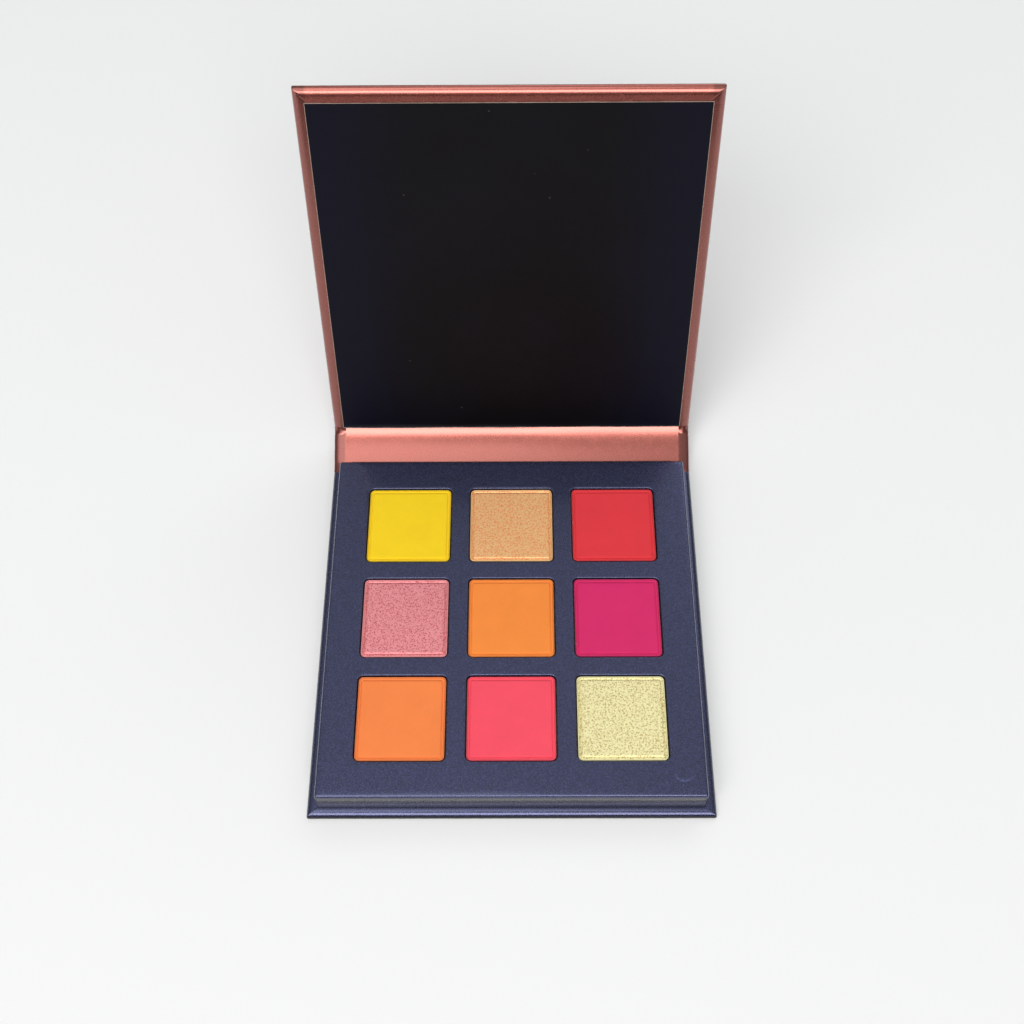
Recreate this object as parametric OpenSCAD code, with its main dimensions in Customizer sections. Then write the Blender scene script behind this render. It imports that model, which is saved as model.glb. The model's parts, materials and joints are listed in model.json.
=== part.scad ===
// Nine-shade makeup palette in a book-style board case.
// A wrapped base carries a raised tray of pressed powders. A narrow spine panel and a lid
// follow on paper creases, and magnets under the tray's front corners hold the lid shut.
// The origin is the centre of the base's footprint, +Z up and +Y towards the spine.

/* [Case] */
// Width of the case, left to right
case_w = 117; // [110:1:130]
// Depth of the case, from the front edge to the lower crease
case_d = 118; // [118:1:130]
// Thickness of each greyboard panel
board_t = 2; // [1.6:0.1:2.4]
// Thickness of the wrapping paper
paper_t = 0.2; // [0.15:0.05:0.25]
// Width of the turned-in border inside each panel
turn_in = 12; // [10:1:14]
// Play between the two mitred board edges at a crease
crease_play = 0.4; // [0.3:0.05:0.5]

/* [Opening] */
// Rise of the spine panel above the table as set down, closed is 90
spine_angle = 24; // [5:1:40]
// Rise of the lid above the table as set down, closed is 180
lid_angle = 73; // [60:1:90]
// Room left between the tray and the closed lid
lid_clearance = 0.5; // [0.4:0.1:0.8]

/* [Tray] */
// Width of the tray
tray_w = 111; // [108:1:114]
// Depth of the tray
tray_d = 112; // [110:0.2:112]
// Height of the tray above the base panel
tray_h = 8.5; // [8.2:0.1:9]
// Place of the tray's centre, front to back
tray_y = -0.3; // [-0.5:0.1:0]
// Thickness of the tray's windowed card
card_t = 1.6; // [1.2:0.1:1.8]

/* [Pans] */
// Side of a square pan
pan_side = 25.6; // [25:0.1:26.5]
// Gap between neighbouring pans, left to right
pan_gap_x = 6.3; // [5:0.1:7]
// Gap between neighbouring pans, front to back
pan_gap_y = 6.5; // [5:0.1:7]
// Depth of a pan
pan_h = 4; // [3.6:0.1:4.2]
// Radius of a pan's corners
pan_r = 1.5; // [1.5:0.1:3]
// Play around a pan in its window
pan_play = 0.5; // [0.4:0.05:0.6]
// How far a pan's rim lies below the tray's face
rim_drop = 0.3; // [0.2:0.05:0.4]

/* [Lid lining] */
// Thickness of the dark lining card
liner_t = 0.3; // [0.2:0.05:0.4]
// Margin of wrapping paper left at the sides of the lining card
liner_side = 3.2; // [2.5:0.1:5]
// Margin of wrapping paper left along the lid's free edge
liner_top = 4; // [3:0.1:6]

/* [Hidden] */
$fn = 48;
SHADES = ["yellow", "copper", "red", "rose", "orange", "magenta", "peach", "coral", "gold"];
SHADE_COLOURS = [
    [0.96, 0.62, 0.03], [0.78, 0.36, 0.16], [0.76, 0.06, 0.07],
    [0.74, 0.25, 0.27], [0.95, 0.28, 0.07], [0.69, 0.04, 0.15],
    [0.93, 0.25, 0.08], [0.93, 0.10, 0.14], [0.77, 0.60, 0.35]
];

// Panels: a panel is a board with paper on both faces.
panel_t = board_t + 2 * paper_t;
crease_n = paper_t / 2;             // the crease axes run in the middle of the outer paper
hinge_y = case_d / 2;
front_y = -case_d / 2;
inner_n = panel_t - crease_n;       // a panel's inner face, measured from the crease axis
mitre_bottom = crease_n + crease_play;
mitre_top = board_t + crease_n + crease_play;
spine_len = tray_h + lid_clearance + liner_t + 2 * (panel_t - crease_n);
lid_turn = lid_angle - spine_angle;
end_turn = 3;                       // turn-in round each end of the spine panel
crease_inset = 1;                   // the inner paper of a crease stops this far from the case's sides
outer_flat = mitre_bottom;          // from a crease axis to the flat part of the outer paper
lower_flat = mitre_top + 0.4;       // the same for the inner paper of the lower crease
upper_flat = mitre_top + 1.4;       // the same for the inner paper of the upper crease

// Tray, from the inside out.
window_side = pan_side + 2 * pan_play;
window_r = pan_r + pan_play;
pitch_x = pan_side + pan_gap_x;
pitch_y = pan_side + pan_gap_y;
tray_top = panel_t + tray_h;
card_top = tray_top - paper_t;
card_bottom = card_top - card_t;
wall_t = board_t;
glue_t = paper_t;
pan_bottom = tray_top - rim_drop - pan_h;
bed_t = (pan_bottom - glue_t - panel_t) / 2;
pan_wall = 0.35;
pan_floor = 0.4;
powder_drop = 0.3;
glue_r = 9;

// Magnets: thin discs under the tray's front corners and in the lid board.
magnet_r = 3;
magnet_t = 1.5;
magnet_x = 48.8;
magnet_y = -48.5;

// Helpers

// Local frame at the lower crease: Y runs up the spine panel, Z points to its inner side.
module spine_frame() {
    translate([0, hinge_y, crease_n]) rotate([spine_angle, 0, 0]) children();
}

// Local frame at the upper crease: Y runs up the lid, Z points to its inner side.
module lid_frame() {
    spine_frame() translate([0, spine_len, 0]) rotate([lid_turn, 0, 0]) children();
}

// A length of a profile drawn in the YZ plane, centred on X.
module along_x(length) {
    translate([-length / 2, 0, 0]) rotate([90, 0, 90]) linear_extrude(length) children();
}

// A box centred on X, from y0 to y1 and z0 to z1.
module slab(width, y0, y1, z0, z1) {
    translate([-width / 2, y0, z0]) cube([width, y1 - y0, z1 - z0]);
}

module rounded_square(side, r) {
    square([side - 2 * r, side], center = true);
    square([side, side - 2 * r], center = true);
    for (x = [-1, 1], y = [-1, 1])
        translate([x * (side / 2 - r), y * (side / 2 - r)]) circle(r);
}

module rounded_plate(side, r, z0, z1) {
    translate([0, 0, z0]) linear_extrude(z1 - z0) rounded_square(side, r);
}

// Puts its children at the pan place with the given number, 0 at the back left.
module at_pan(number) {
    translate([(number % 3 - 1) * pitch_x, tray_y + (1 - floor(number / 3)) * pitch_y, 0]) children();
}

module windows(side, r, z0, z1) {
    for (number = [0:8]) at_pan(number) rounded_plate(side, r, z0, z1);
}

// Paper bent round a crease by a turn, from flat_y before the axis to flat_y after it, between
// the heights n0 and n1 above the axis. The bend's centre lies on the inner side.
module crease_arc(turn, flat_y, n0, n1, width) {
    centre_n = flat_y / tan(turn / 2);
    reach = 2 * centre_n;
    along_x(width) translate([-flat_y, centre_n]) intersection() {
        difference() {
            circle(centre_n - n0, $fn = 96);
            circle(centre_n - n1, $fn = 96);
        }
        polygon([[0, 0], [0, -reach], [reach * tan(turn / 2), -reach],
                 [reach * sin(turn), -reach * cos(turn)]]);
    }
}

// Base

module base_board() {
    color("tan") along_x(case_w - 2 * paper_t) polygon([
        [front_y + paper_t, paper_t],
        [hinge_y - mitre_bottom, paper_t],
        [hinge_y - mitre_top, panel_t - paper_t],
        [front_y + paper_t, panel_t - paper_t]
    ]);
}

module base_wrap() {
    color([0.11, 0.13, 0.22]) difference() {
        along_x(case_w) polygon([
            [front_y, 0],
            [hinge_y - outer_flat, 0],
            [hinge_y - outer_flat, paper_t],
            [hinge_y - mitre_top, panel_t - paper_t],
            [hinge_y - lower_flat, panel_t - paper_t],
            [hinge_y - lower_flat, panel_t],
            [front_y, panel_t]
        ]);
        base_board();
        slab(case_w - 2 * turn_in, front_y + turn_in, hinge_y, board_t, panel_t + 1);
    }
}

module tray_adhesive() {
    color("wheat")
        slab(case_w - 2 * turn_in, front_y + turn_in, hinge_y - lower_flat - turn_in,
             panel_t - paper_t, panel_t);
}

// Tray

tray_front = tray_y - tray_d / 2;
tray_back = tray_y + tray_d / 2;

module pan_bed(layer) {
    inset = 2 * (paper_t + wall_t);
    color("silver") slab(tray_w - inset, tray_front + inset / 2, tray_back - inset / 2,
                         panel_t + layer * bed_t, panel_t + (layer + 1) * bed_t);
}

module tray_wall_across(y0) {
    color("tan") slab(tray_w - 2 * paper_t, y0, y0 + wall_t, panel_t, card_bottom);
}

module tray_wall_along(side) {
    color("tan") translate([side * (tray_w / 2 - paper_t - wall_t / 2), 0, 0])
        slab(wall_t, tray_front + paper_t + wall_t, tray_back - paper_t - wall_t, panel_t, card_bottom);
}

module tray_card() {
    color("tan") difference() {
        slab(tray_w - 2 * paper_t, tray_front + paper_t, tray_back - paper_t, card_bottom, card_top);
        windows(window_side + 2 * paper_t, window_r + paper_t, card_bottom - 1, card_top + 1);
    }
}

// The paper covers the tray's face and its four sides, and turns down into every window.
module tray_wrap() {
    color([0.09, 0.10, 0.20]) difference() {
        slab(tray_w, tray_front, tray_back, panel_t, tray_top);
        difference() {
            slab(tray_w - 2 * paper_t, tray_front + paper_t, tray_back - paper_t,
                 panel_t - 1, card_top);
            windows(window_side + 2 * paper_t, window_r + paper_t, card_bottom, card_top);
        }
        windows(window_side, window_r, panel_t - 1, tray_top + 1);
    }
}

module tray_magnet(side) {
    color("silver") translate([side * magnet_x, magnet_y, card_bottom - magnet_t])
        cylinder(r = magnet_r, h = magnet_t);
}

module pan_glue() {
    color("ivory") for (number = [0:8])
        at_pan(number) translate([0, 0, pan_bottom - glue_t]) cylinder(r = glue_r, h = glue_t);
}

module pan(number) {
    inner = pan_side - 2 * pan_wall;
    color("gainsboro") at_pan(number) difference() {
        rounded_plate(pan_side, pan_r, pan_bottom, pan_bottom + pan_h);
        rounded_plate(inner, pan_r - pan_wall, pan_bottom + pan_floor, pan_bottom + pan_h + 1);
    }
}

module powder(number) {
    inner = pan_side - 2 * pan_wall;
    color(SHADE_COLOURS[number]) at_pan(number)
        rounded_plate(inner, pan_r - pan_wall, pan_bottom + pan_floor, pan_bottom + pan_h - powder_drop);
}

// Creases

// The inner paper runs from under the tray's back edge over the crease to the spine panel.
module lower_crease_liner() {
    color([0.72, 0.22, 0.18]) {
        slab(case_w - 2 * turn_in, hinge_y - lower_flat - turn_in, hinge_y - lower_flat,
             panel_t - paper_t, panel_t);
        translate([0, hinge_y, crease_n])
            crease_arc(spine_angle, lower_flat, inner_n - paper_t, inner_n, case_w - 2 * crease_inset);
    }
}

module lower_crease_wrap() {
    color([0.72, 0.22, 0.18]) translate([0, hinge_y, crease_n])
        crease_arc(spine_angle, outer_flat, -crease_n, crease_n, case_w);
}

module upper_crease_liner() {
    color([0.72, 0.22, 0.18]) spine_frame() translate([0, spine_len, 0])
        crease_arc(lid_turn, upper_flat, inner_n - paper_t, inner_n, case_w - 2 * crease_inset);
}

module upper_crease_wrap() {
    color([0.72, 0.22, 0.18]) spine_frame() translate([0, spine_len, 0])
        crease_arc(lid_turn, outer_flat, -crease_n, crease_n, case_w);
}

// Spine

module spine_board() {
    color("tan") spine_frame() along_x(case_w - 2 * paper_t) polygon([
        [mitre_bottom, crease_n],
        [spine_len - mitre_bottom, crease_n],
        [spine_len - mitre_top, inner_n - paper_t],
        [mitre_top, inner_n - paper_t]
    ]);
}

// Outer paper of the spine, with short turn-ins round both ends.
module spine_wrap() {
    color([0.72, 0.22, 0.18]) difference() {
        spine_frame() along_x(case_w) polygon([
            [outer_flat, -crease_n],
            [spine_len - outer_flat, -crease_n],
            [spine_len - outer_flat, crease_n],
            [spine_len - mitre_top, inner_n - paper_t],
            [spine_len - upper_flat, inner_n - paper_t],
            [spine_len - upper_flat, inner_n],
            [lower_flat, inner_n],
            [lower_flat, inner_n - paper_t],
            [mitre_top, inner_n - paper_t],
            [outer_flat, crease_n]
        ]);
        spine_board();
        spine_frame()
            slab(case_w - 2 * end_turn, 0, spine_len, inner_n - paper_t, inner_n + 1);
    }
}

module spine_liner() {
    color([0.72, 0.22, 0.18]) spine_frame()
        slab(case_w - 2 * end_turn, lower_flat, spine_len - upper_flat, inner_n - paper_t, inner_n);
}

// Lid

module lid_magnet_pocket(side, z0) {
    translate([side * magnet_x, hinge_y - magnet_y, z0]) cylinder(r = magnet_r, h = inner_n);
}

// The solid board, before the magnet pockets are cut.
module lid_blank() {
    along_x(case_w - 2 * paper_t) polygon([
        [mitre_bottom, crease_n],
        [case_d - paper_t, crease_n],
        [case_d - paper_t, inner_n - paper_t],
        [mitre_top, inner_n - paper_t]
    ]);
}

module lid_board() {
    color("tan") lid_frame() difference() {
        lid_blank();
        for (side = [-1, 1]) lid_magnet_pocket(side, inner_n - paper_t - magnet_t);
    }
}

module lid_wrap() {
    color([0.72, 0.22, 0.18]) lid_frame() difference() {
        along_x(case_w) polygon([
            [outer_flat, -crease_n],
            [case_d, -crease_n],
            [case_d, inner_n],
            [upper_flat, inner_n],
            [upper_flat, inner_n - paper_t],
            [mitre_top, inner_n - paper_t],
            [outer_flat, crease_n]
        ]);
        lid_blank();
        slab(case_w - 2 * turn_in, upper_flat + turn_in, case_d - turn_in,
             inner_n - paper_t, inner_n + 1);
    }
}

module lid_adhesive() {
    color("wheat") lid_frame()
        slab(case_w - 2 * turn_in, upper_flat + turn_in, case_d - turn_in, inner_n - paper_t, inner_n);
}

module lid_liner() {
    color([0.05, 0.04, 0.06]) lid_frame()
        slab(case_w - 2 * liner_side, upper_flat, case_d - liner_top, inner_n, inner_n + liner_t);
}

module lid_magnet(side) {
    color("silver") lid_frame() intersection() {
        lid_magnet_pocket(side, inner_n - paper_t - magnet_t);
        slab(case_w, 0, case_d, 0, inner_n - paper_t);
    }
}

base_board();
base_wrap();
tray_adhesive();
pan_bed(0);  // pan_bed_lower
pan_bed(1);  // pan_bed_upper
tray_wall_across(tray_front + paper_t);  // tray_wall_front
tray_wall_across(tray_back - paper_t - wall_t);  // tray_wall_back
tray_wall_along(-1);  // tray_wall_left
tray_wall_along(1);  // tray_wall_right
tray_card();
tray_wrap();
tray_magnet(-1);  // tray_magnet_left
tray_magnet(1);  // tray_magnet_right
pan_glue();
lower_crease_liner();
lower_crease_wrap();
spine_board();
spine_wrap();
spine_liner();
lid_board();
lid_wrap();
lid_adhesive();
lid_liner();
lid_magnet(-1);  // lid_magnet_left
lid_magnet(1);  // lid_magnet_right
upper_crease_liner();
upper_crease_wrap();
for (number = [0:8]) {
    pan(number);
    powder(number);
}
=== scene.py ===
import json
import math

import bmesh
import bpy
import numpy as np
from mathutils import Matrix, Vector


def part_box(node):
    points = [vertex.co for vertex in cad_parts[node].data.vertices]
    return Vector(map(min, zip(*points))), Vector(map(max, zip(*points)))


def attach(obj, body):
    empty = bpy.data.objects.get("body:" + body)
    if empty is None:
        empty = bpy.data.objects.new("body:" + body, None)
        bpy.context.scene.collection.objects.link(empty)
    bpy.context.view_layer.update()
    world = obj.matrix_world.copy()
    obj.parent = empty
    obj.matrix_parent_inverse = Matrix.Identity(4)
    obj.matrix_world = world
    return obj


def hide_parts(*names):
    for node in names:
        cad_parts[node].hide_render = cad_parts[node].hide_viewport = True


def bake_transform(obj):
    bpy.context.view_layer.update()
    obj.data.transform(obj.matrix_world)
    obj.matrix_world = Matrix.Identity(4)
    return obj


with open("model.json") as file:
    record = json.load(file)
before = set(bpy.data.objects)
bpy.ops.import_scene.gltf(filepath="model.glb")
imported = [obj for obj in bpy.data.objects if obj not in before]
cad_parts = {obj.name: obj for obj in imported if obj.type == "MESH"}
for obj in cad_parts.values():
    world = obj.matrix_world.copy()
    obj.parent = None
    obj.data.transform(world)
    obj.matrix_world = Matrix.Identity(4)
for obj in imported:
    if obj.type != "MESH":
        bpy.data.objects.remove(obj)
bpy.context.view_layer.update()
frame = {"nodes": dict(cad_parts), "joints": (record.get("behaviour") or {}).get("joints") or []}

mm = 0.001

# Places from the frame: the two crease axes, the angles the panels stand at, and the sizes.
joints = {joint["name"]: joint for joint in frame["joints"]}
lowerAxis = np.array(joints["spine_fold"]["pos_m"])
upperAxis = np.array(joints["lid_fold"]["pos_m"])
spineAngle = -math.radians(joints["spine_fold"]["range_deg"][0])
lidTurn = -math.radians(joints["lid_fold"]["range_deg"][0])
shades = ["yellow", "copper", "red", "rose", "orange", "magenta", "peach", "coral", "gold"]


def nodeBox(name):
    low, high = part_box(name)
    return np.array(low), np.array(high)


baseLow, baseHigh = nodeBox("base_wrap")
trayLow, trayHigh = nodeBox("tray_wrap")
cardLow, cardHigh = nodeBox("tray_card")
caseHalf = baseHigh[0]
panelDepth = lowerAxis[1] - baseLow[1]
outerN = baseLow[2] - lowerAxis[2]
innerN = baseHigh[2] - lowerAxis[2]
paper = nodeBox("base_board")[0][2] - baseLow[2]
spineLength = float(np.linalg.norm(upperAxis - lowerAxis))
linerHalf = nodeBox("lid_liner")[1][0]
magnetPlace = (nodeBox("tray_magnet_right")[0] + nodeBox("tray_magnet_right")[1]) / 2


# A panel's own places: x across, s along it from its crease, n towards its inner side.
def placeOn(axisPoint, angle):
    def place(x, s, n):
        y = axisPoint[1] + s * math.cos(angle) - n * math.sin(angle)
        z = axisPoint[2] + s * math.sin(angle) + n * math.cos(angle)
        return np.stack(np.broadcast_arrays(x, y, z), axis=-1)
    return place


onSpine = placeOn(lowerAxis, spineAngle)
onLid = placeOn(upperAxis, spineAngle + lidTurn)


def onBase(x, s, n):
    return np.stack(np.broadcast_arrays(x, lowerAxis[1] - s, lowerAxis[2] + n), axis=-1)


# One output socket, so that shader maths reads as Python.
class Wire:
    def __init__(self, paint, socket):
        self.paint = paint
        self.socket = socket

    def maths(self, operation, *values):
        return self.paint.add("ShaderNodeMath", {"operation": operation}, dict(enumerate(values)))

    def __add__(self, other):
        return self.maths("ADD", self, other)

    def __radd__(self, other):
        return self.maths("ADD", other, self)

    def __sub__(self, other):
        return self.maths("SUBTRACT", self, other)

    def __rsub__(self, other):
        return self.maths("SUBTRACT", other, self)

    def __mul__(self, other):
        return self.maths("MULTIPLY", self, other)

    def __rmul__(self, other):
        return self.maths("MULTIPLY", other, self)

    def __truediv__(self, other):
        return self.maths("DIVIDE", self, other)

    def __pow__(self, other):
        return self.maths("POWER", self, other)


# One material: a Principled shader and the nodes that feed it.
class Paint:
    def __init__(self, name, **fixed):
        self.material = bpy.data.materials.new(name)
        self.material.use_nodes = True
        self.tree = self.material.node_tree
        self.tree.nodes.clear()
        output = self.tree.nodes.new("ShaderNodeOutputMaterial")
        self.shader = self.tree.nodes.new("ShaderNodeBsdfPrincipled")
        self.tree.links.new(self.shader.outputs[0], output.inputs["Surface"])
        for socket, value in fixed.items():
            self.shader.inputs[socket.replace("_", " ")].default_value = value

    def add(self, kind, settings=None, inputs=None, output=0):
        node = self.tree.nodes.new(kind)
        for name, value in (settings or {}).items():
            if name == "stops":
                ramp = node.color_ramp
                while len(ramp.elements) < len(value):
                    ramp.elements.new(0.5)
                for element, (place, colour) in zip(ramp.elements, value):
                    element.position = place
                    element.color = (*colour, 1)
            else:
                setattr(node, name, value)
        for name, value in (inputs or {}).items():
            self.join(node.inputs[name], value)
        return Wire(self, node.outputs[output])

    def join(self, socket, value):
        if isinstance(value, Wire):
            self.tree.links.new(value.socket, socket)
        else:
            socket.default_value = value

    def feed(self, **wires):
        for socket, wire in wires.items():
            self.join(self.shader.inputs[socket.replace("_", " ")], wire)
        return self.material

    # Object coordinates, in metres.
    def place(self):
        return self.add("ShaderNodeTexCoord", output="Object")

    # Soft noise whose features are about size metres across.
    def noise(self, size, detail=2.0, roughness=0.5, place=None, kind="ShaderNodeTexNoise"):
        values = {"Vector": place or self.place(), "Scale": 1 / size}
        if kind == "ShaderNodeTexNoise":
            values |= {"Detail": detail, "Roughness": roughness}
        return self.add(kind, {}, values)

    # 0 below low, 1 above high, smooth between.
    def ramp(self, wire, low, high):
        return self.add("ShaderNodeMapRange", {"interpolation_type": "SMOOTHSTEP"},
                        {"Value": wire, "From Min": low, "From Max": high})

    def mix(self, factor, first, second, blend="MIX"):
        first, second = [(*c, 1) if isinstance(c, tuple) else c for c in (first, second)]
        return self.add("ShaderNodeMix", {"data_type": "RGBA", "blend_type": blend},
                        {0: factor, 6: first, 7: second}, output=2)

    # Height in metres to a normal. below is an earlier bump that this one lies on.
    def bump(self, height, depth, below=None):
        inputs = {"Height": height, "Distance": depth, "Strength": 1.0}
        if below is not None:
            inputs["Normal"] = below
        return self.add("ShaderNodeBump", {}, inputs)

    def stretched(self, scale):
        return self.add("ShaderNodeMapping", {}, {"Vector": self.place(), "Scale": scale})


def shade(colour, factor):
    return tuple(min(1.0, c * factor) for c in colour)


# The wall colour is the tray wall's grey, partly a greyer paper and partly a painted reflection of the floor.
# The near-black after it is painted shade.
navyPaper = {
    "colour": (0.044, 0.047, 0.100), "glint": (0.145, 0.160, 0.350), "metallic": 0.78,
    "wall": (0.105, 0.104, 0.112), "crevice": (0.006, 0.007, 0.010),
    "roughness": 0.27, "grain": 0.30 * mm, "grainDepth": 0.007 * mm, "sheet": 11 * mm,
}


# Pearl paper: a fine leathery grain in colour, gloss and height, and a slow waviness of the sheet.
# The tray's sheet carries the round hollow pressed by the magnet beneath it, and painted shade down its wall:
# near-black at the foot and just under the rolled edge, with a grey between that is partly a greyer paper and
# partly a painted reflection of the floor. The base's sheet is painted near-black for shade below its rolled
# edge, between two given heights.
def makeNavyPaper(name="navyPaper", wallShadeAndDent=False, paintedShadeBelow=None):
    p = Paint(name, Metallic=navyPaper["metallic"], Coat_Weight=0.6, Coat_Roughness=0.1)
    grain = p.noise(navyPaper["grain"], 3.0, 0.6)
    fleck = p.noise(navyPaper["grain"] * 0.6, 1.0, 0.5)
    sheet = p.noise(navyPaper["sheet"], 2.0, 0.5)
    scuff = p.ramp(p.noise(1.6 * mm, 4.0, 0.65, p.stretched((1.0, 0.25, 1.0))), 0.66, 0.74)
    tone = p.ramp(grain * 0.6 + fleck * 0.4, 0.42, 0.68)
    colour = p.mix(tone * 0.6, navyPaper["colour"], navyPaper["glint"])
    height = p.bump(grain, navyPaper["grainDepth"], p.bump(sheet, 0.04 * mm))
    if wallShadeAndDent:
        level = p.add("ShaderNodeSeparateXYZ", {}, {0: p.place()}, output="Z")
        foot, top = trayLow[2], trayHigh[2]
        # Painted shade on the wall, by height: near-black at the foot where the base shades it, the grey wall
        # colour above, and a near-black line just under the rolled edge.
        aboveFoot = p.ramp(level, foot + 0.3 * mm, foot + 0.9 * mm)
        underEdge = p.ramp(level, top - 2.0 * mm, top - 1.5 * mm)
        onFace = p.ramp(level, top - 1.0 * mm, top - 0.7 * mm)
        wall = p.mix(aboveFoot, navyPaper["crevice"], navyPaper["wall"])
        wall = p.mix(underEdge, wall, navyPaper["crevice"])
        colour = p.mix(onFace, wall, colour)
        offset = p.add("ShaderNodeVectorMath", {"operation": "SUBTRACT"},
                       {0: p.place(), 1: (magnetPlace[0], magnetPlace[1], trayHigh[2])})
        reach = p.add("ShaderNodeVectorMath", {"operation": "LENGTH"}, {0: offset}, output="Value")
        ring = (p.ramp(reach, 2.3 * mm, 2.85 * mm) - p.ramp(reach, 2.85 * mm, 3.4 * mm))
        front = p.add("ShaderNodeSeparateXYZ", {}, {0: offset}, output="Y")
        ring = ring * p.ramp(front * -1.0, 0.2 * mm, 2.4 * mm)
        worn = ring * p.ramp(p.noise(0.5 * mm, 3.0, 0.6), 0.38, 0.6)
        colour = p.mix(worn * 0.5, colour, shade(navyPaper["glint"], 1.5))
        height = p.bump(ring, 0.03 * mm, height)
    colour = p.mix(scuff * 0.10, colour, shade(navyPaper["glint"], 1.6))
    if paintedShadeBelow is not None:
        # Painted shade: near-black below the base's rolled edge, between two given heights.
        level = p.add("ShaderNodeSeparateXYZ", {}, {0: p.place()}, output="Z")
        colour = p.mix(p.ramp(level, *paintedShadeBelow), navyPaper["crevice"], colour)
    return p.feed(Base_Color=colour, Roughness=grain * 0.16 + scuff * 0.1 + navyPaper["roughness"] - 0.08,
                  Normal=height)


# The last entry is how far across the case the painted shade of the spine's ends and the lid's sides begins.
coralPaper = {
    "colour": (0.47, 0.122, 0.090), "deep": (0.43, 0.108, 0.080), "metallic": 0.90,
    "roughness": 0.27, "grain": 0.22 * mm, "grainDepth": 0.0012 * mm, "sheet": 22 * mm,
    "wave": 0.05 * mm, "stretchedFrom": 55.0 * mm,
}


# Metallic rose paper: brushed-fine grain, faint mottling, and a slow waviness of the sheet.
# Out over the ends of the spine and the sides of the lid, the colour is painted darker and browner: painted
# shade for the dimmer reflection those faces show.
def makeCoralPaper(name="coralPaper", stretchedFrom=None):
    p = Paint(name, Metallic=coralPaper["metallic"], Coat_Weight=1.0, Coat_Roughness=0.2, Coat_IOR=1.55)
    grain = p.noise(coralPaper["grain"], 3.0, 0.6)
    mottle = p.noise(2.4 * mm, 4.0, 0.6)
    sheet = p.noise(coralPaper["sheet"], 2.0, 0.5, p.stretched((0.45, 1.0, 1.0)))
    tone = p.ramp(grain * 0.7 + mottle * 0.3, 0.38, 0.62)
    colour = p.mix(tone, coralPaper["deep"], coralPaper["colour"])
    if stretchedFrom is not None:
        # Painted shade: darker and browner beyond a given distance across.
        across = p.add("ShaderNodeSeparateXYZ", {}, {0: p.place()}, output="X")
        away = p.add("ShaderNodeMath", {"operation": "ABSOLUTE"}, {0: across})
        colour = p.mix(p.ramp(away, stretchedFrom - 0.6 * mm, stretchedFrom + 0.4 * mm), colour,
                       shade(coralPaper["deep"], 0.62))
    height = p.bump(grain, coralPaper["grainDepth"], p.bump(sheet, coralPaper["wave"]))
    return p.feed(Base_Color=colour, Roughness=mottle * 0.06 + coralPaper["roughness"] - 0.03, Normal=height)


darkCard = {
    "colour": (0.0022, 0.0018, 0.0030), "cloud": (0.0028, 0.0027, 0.0050),
    "side": (0.0030, 0.0030, 0.0105), "roughness": 0.50, "grain": 0.35 * mm,
}


# Soft black card with a trace of navy, a faint nap and a few specks of dust.
def makeDarkCard():
    p = Paint("darkCard", Specular_IOR_Level=0.15)
    grain = p.noise(darkCard["grain"], 3.0, 0.55)
    cloud = p.noise(30 * mm, 3.0, 0.5)
    cell = p.add("ShaderNodeTexVoronoi", {"feature": "F1"},
                 {"Vector": p.place(), "Scale": 1 / (9 * mm), "Randomness": 1.0}, output="Distance")
    dust = 1 - p.ramp(cell, 0.018, 0.032)
    colour = p.mix(p.ramp(cloud, 0.35, 0.65), darkCard["colour"], darkCard["cloud"])
    across = p.add("ShaderNodeSeparateXYZ", {}, {0: p.place()}, output="X")
    away = p.add("ShaderNodeMath", {"operation": "ABSOLUTE"}, {0: across})
    colour = p.mix(p.ramp(away, 24 * mm, 52 * mm), colour, darkCard["side"])
    colour = p.mix(dust * 0.5, colour, (0.10, 0.10, 0.11))
    return p.feed(Base_Color=colour, Roughness=grain * 0.12 + darkCard["roughness"] - 0.06,
                  Normal=p.bump(grain, 0.006 * mm))


# The pale core that shows where card is cut.
def makeCutEdge():
    p = Paint("cutEdge", Roughness=0.85)
    fibre = p.noise(0.25 * mm, 4.0, 0.7)
    colour = p.mix(p.ramp(fibre, 0.35, 0.65), (0.26, 0.19, 0.14), (0.50, 0.39, 0.31))
    return p.feed(Base_Color=colour, Normal=p.bump(fibre, 0.02 * mm))


# The lifted lower edge of the dark card, pale in patches: partly the pale core where its black has worn,
# partly a painted highlight for the light its curl catches.
def makeWornLitEdge():
    p = Paint("wornEdge", Roughness=0.5)
    worn = p.ramp(p.noise(5 * mm, 4.0, 0.7, p.stretched((0.6, 1.0, 1.0))), 0.40, 0.75)
    colour = p.mix(worn * 0.8 + 0.1, (0.02, 0.015, 0.017), (0.42, 0.36, 0.34))
    return p.feed(Base_Color=colour)


# Grey-brown board made of recycled fibre, with darker flecks.
def makeBoard():
    p = Paint("board", Roughness=0.9)
    fibre = p.noise(0.5 * mm, 5.0, 0.7, p.stretched((1.0, 1.0, 2.5)))
    fleck = p.ramp(p.noise(0.9 * mm, 2.0, 0.6), 0.62, 0.70)
    colour = p.mix(p.ramp(fibre, 0.3, 0.7), (0.30, 0.25, 0.19), (0.44, 0.39, 0.31))
    colour = p.mix(fleck * 0.6, colour, (0.16, 0.13, 0.10))
    return p.feed(Base_Color=colour, Normal=p.bump(fibre, 0.05 * mm))


# Dried glue: a cloudy film with small bubbles.
def makeGlue():
    p = Paint("glue", Roughness=0.4, Specular_IOR_Level=0.5)
    cloud = p.noise(1.5 * mm, 4.0, 0.6)
    bubble = p.ramp(p.noise(0.4 * mm, kind="ShaderNodeTexVoronoi"), 0.1, 0.3)
    colour = p.mix(p.ramp(cloud, 0.3, 0.7), (0.62, 0.55, 0.40), (0.80, 0.76, 0.64))
    return p.feed(Base_Color=colour, Normal=p.bump(bubble * 0.5 + cloud, 0.05 * mm))


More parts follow.
